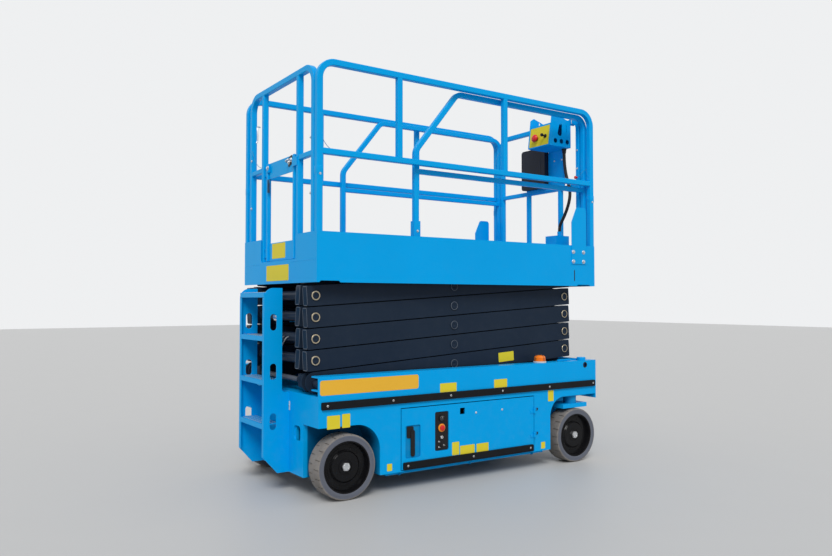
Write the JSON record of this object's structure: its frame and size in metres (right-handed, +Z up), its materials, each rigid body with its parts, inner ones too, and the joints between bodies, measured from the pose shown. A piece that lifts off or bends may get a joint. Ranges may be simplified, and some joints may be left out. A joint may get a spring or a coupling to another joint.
{
  "type": "scissor lift",
  "caption": "Battery-driven slab scissor lift: boxy tub on solid tyres, stacked crossing arms, railed platform with a roll-out deck, rear ladder and swing-out battery doors.",
  "frame": {"origin": "on the floor, under the middle of the machine's outline", "axes": "+X towards the steered end, away from the ladder; +Y to the machine's left; +Z up"},
  "size_m": [2.466, 1.2186, 2.5789],
  "materials": {
    "blue_paint": "gloss",
    "arm_paint": "satin",
    "black_paint": "satin",
    "dark_steel": "satin",
    "bright_steel": "brushed",
    "chrome_rod": "polished",
    "grey_tyre": "matt",
    "black_rubber": "matt",
    "black_plastic": "matt",
    "battery_case": "matt",
    "orange_lamp": "clear",
    "red_plastic": "gloss",
    "yellow_plate": "gloss",
    "amber_plate": "gloss"
  },
  "bodies": {
    "chassis": {"chassis_frame": "blue_paint", "tub_deck": "blue_paint", "bay_channels": "blue_paint", "side_panels": "blue_paint", "side_beams": "blue_paint", "ladder": "blue_paint", "side_strips": "black_rubber", "rear_axle_ends": "dark_steel", "beacon": "orange_lamp"},
    "platform": {"platform_deck": "blue_paint", "left_side_rail": "blue_paint", "right_side_rail": "blue_paint", "rear_rail": "blue_paint", "front_corner_plates": "blue_paint"},
    "gate": {"entry_gate": "blue_paint"},
    "extension": {"extension_deck": "blue_paint", "extension_left_rail": "blue_paint", "extension_right_rail": "blue_paint", "front_rail": "blue_paint", "control_housing": "blue_paint", "control_knobs": "red_plastic", "document_box": "black_plastic", "junction_box": "blue_paint", "control_cable": "black_rubber"},
    "cylinder_barrel": {"lift_cylinder_barrel": "arm_paint"},
    "cylinder_rod": {"lift_cylinder_rod": "chrome_rod"},
    "left_door_body": {"left_door": "blue_paint", "left_door_strip": "black_rubber", "left_door_fittings": "black_plastic", "left_tray": "blue_paint", "left_batteries": "battery_case"},
    "left_guard": {"left_pothole_guard": "blue_paint"},
    "left_steering": {"left_knuckle": "blue_paint"},
    "front_left_wheel": {"front_left_tyre": "grey_tyre", "front_left_rim": "black_paint"},
    "rear_left_wheel": {"rear_left_tyre": "grey_tyre", "rear_left_rim": "black_paint"},
    "right_door_body": {"right_door": "blue_paint", "right_door_strip": "black_rubber", "right_door_fittings": "black_plastic", "right_tray": "blue_paint", "right_batteries": "battery_case"},
    "right_guard": {"right_pothole_guard": "blue_paint"},
    "right_steering": {"right_knuckle": "blue_paint"},
    "front_right_wheel": {"front_right_tyre": "grey_tyre", "front_right_rim": "black_paint"},
    "rear_right_wheel": {"rear_right_tyre": "grey_tyre", "rear_right_rim": "black_paint"},
    "inner_1": {"inner_arms_1": "arm_paint"},
    "outer_1": {"outer_arms_1": "arm_paint"},
    "inner_2": {"inner_arms_2": "arm_paint"},
    "outer_2": {"outer_arms_2": "arm_paint"},
    "inner_3": {"inner_arms_3": "arm_paint"},
    "outer_3": {"outer_arms_3": "arm_paint"},
    "inner_4": {"inner_arms_4": "arm_paint"},
    "outer_4": {"outer_arms_4": "arm_paint"},
    "inner_5": {"inner_arms_5": "arm_paint"},
    "outer_5": {"outer_arms_5": "arm_paint"}
  },
  "joints": [
    {"name": "lift", "type": "hinge", "parent": "chassis", "child": "inner_1", "pos_m": [1.001, 0, 0.679], "axis": [0, 1, 0], "range_deg": [0, 61.7]},
    {"name": "cross_1", "type": "hinge", "parent": "inner_1", "child": "outer_1", "pos_m": [-0.01251, 0, 0.7425], "axis": [0, 1, 0], "range_deg": [-123.4, 0]},
    {"name": "link_1", "type": "hinge", "parent": "outer_1", "child": "inner_2", "pos_m": [1.001, 0, 0.806], "axis": [0, 1, 0], "range_deg": [0, 123.4]},
    {"name": "cross_2", "type": "hinge", "parent": "inner_2", "child": "outer_2", "pos_m": [-0.01251, 0, 0.8695], "axis": [0, 1, 0], "range_deg": [-123.4, 0]},
    {"name": "link_2", "type": "hinge", "parent": "outer_2", "child": "inner_3", "pos_m": [1.001, 0, 0.933], "axis": [0, 1, 0], "range_deg": [0, 123.4]},
    {"name": "cross_3", "type": "hinge", "parent": "inner_3", "child": "outer_3", "pos_m": [-0.01251, 0, 0.9965], "axis": [0, 1, 0], "range_deg": [-123.4, 0]},
    {"name": "link_3", "type": "hinge", "parent": "outer_3", "child": "inner_4", "pos_m": [1.001, 0, 1.06], "axis": [0, 1, 0], "range_deg": [0, 123.4]},
    {"name": "cross_4", "type": "hinge", "parent": "inner_4", "child": "outer_4", "pos_m": [-0.01251, 0, 1.1235], "axis": [0, 1, 0], "range_deg": [-123.4, 0]},
    {"name": "link_4", "type": "hinge", "parent": "outer_4", "child": "inner_5", "pos_m": [1.001, 0, 1.187], "axis": [0, 1, 0], "range_deg": [0, 123.4]},
    {"name": "cross_5", "type": "hinge", "parent": "inner_5", "child": "outer_5", "pos_m": [-0.01251, 0, 1.2505], "axis": [0, 1, 0], "range_deg": [-123.4, 0]},
    {"name": "platform_level", "type": "hinge", "parent": "outer_5", "child": "platform", "pos_m": [1.001, 0, 1.314], "axis": [0, 1, 0], "range_deg": [0, 61.7]},
    {"name": "cylinder_tilt", "type": "hinge", "parent": "inner_2", "child": "cylinder_barrel", "pos_m": [1.001, 0, 0.806], "axis": [0, 1, 0], "range_deg": [0, 8.25]},
    {"name": "cylinder_stroke", "type": "slide", "parent": "cylinder_barrel", "child": "cylinder_rod", "axis": [-0.9922, 0, 0.1243], "range_m": [0, 1.7455]},
    {"name": "steer_left", "type": "hinge", "parent": "chassis", "child": "left_steering", "pos_m": [0.9925, 0.5315, 0.43], "axis": [0, 0, 1], "range_deg": [-60, 60]},
    {"name": "spin_front_left", "type": "hinge", "parent": "left_steering", "child": "front_left_wheel", "pos_m": [0.9925, 0.5315, 0.1905], "axis": [0, 1, 0], "continuous": true},
    {"name": "spin_rear_left", "type": "hinge", "parent": "chassis", "child": "rear_left_wheel", "pos_m": [-0.8785, 0.5315, 0.1905], "axis": [0, 1, 0], "continuous": true},
    {"name": "door_left", "type": "hinge", "parent": "chassis", "child": "left_door_body", "pos_m": [0.58275, 0.6023, 0.3175], "axis": [0, 0, -1], "range_deg": [0, 90]},
    {"name": "guard_left", "type": "hinge", "parent": "chassis", "child": "left_guard", "pos_m": [0.045, 0.56, 0.104], "axis": [1, 0, 0], "range_deg": [0, 90]},
    {"name": "steer_right", "type": "hinge", "parent": "chassis", "child": "right_steering", "pos_m": [0.9925, -0.5315, 0.43], "axis": [0, 0, 1], "range_deg": [-60, 60]},
    {"name": "spin_front_right", "type": "hinge", "parent": "right_steering", "child": "front_right_wheel", "pos_m": [0.9925, -0.5315, 0.1905], "axis": [0, 1, 0], "continuous": true},
    {"name": "spin_rear_right", "type": "hinge", "parent": "chassis", "child": "rear_right_wheel", "pos_m": [-0.8785, -0.5315, 0.1905], "axis": [0, 1, 0], "continuous": true},
    {"name": "door_right", "type": "hinge", "parent": "chassis", "child": "right_door_body", "pos_m": [0.58275, -0.6023, 0.3175], "axis": [0, 0, 1], "range_deg": [0, 90]},
    {"name": "guard_right", "type": "hinge", "parent": "chassis", "child": "right_guard", "pos_m": [0.045, -0.56, 0.104], "axis": [-1, 0, 0], "range_deg": [0, 90]},
    {"name": "extension_slide", "type": "slide", "parent": "platform", "child": "extension", "axis": [1, 0, 0], "range_m": [0, 0.9]},
    {"name": "gate_swing", "type": "hinge", "parent": "platform", "child": "gate", "pos_m": [-1.037, 0.233, 1.74], "axis": [0, 0, 1], "range_deg": [0, 90], "stiffness_Nm_per_rad": 6, "springref_deg": -11.46}
  ],
  "couplings": [
    {"joint": "cross_1", "follows": "lift", "ratio": -2},
    {"joint": "link_1", "follows": "lift", "ratio": 2},
    {"joint": "cross_2", "follows": "lift", "ratio": -2},
    {"joint": "link_2", "follows": "lift", "ratio": 2},
    {"joint": "cross_3", "follows": "lift", "ratio": -2},
    {"joint": "link_3", "follows": "lift", "ratio": 2},
    {"joint": "cross_4", "follows": "lift", "ratio": -2},
    {"joint": "link_4", "follows": "lift", "ratio": 2},
    {"joint": "cross_5", "follows": "lift", "ratio": -2},
    {"joint": "platform_level", "follows": "lift", "ratio": 1},
    {"joint": "cylinder_tilt", "follows": "lift", "ratio": 0.13286},
    {"joint": "cylinder_stroke", "follows": "lift", "m_per_rad": 1.619},
    {"joint": "steer_right", "follows": "steer_left", "ratio": 1}
  ]
}
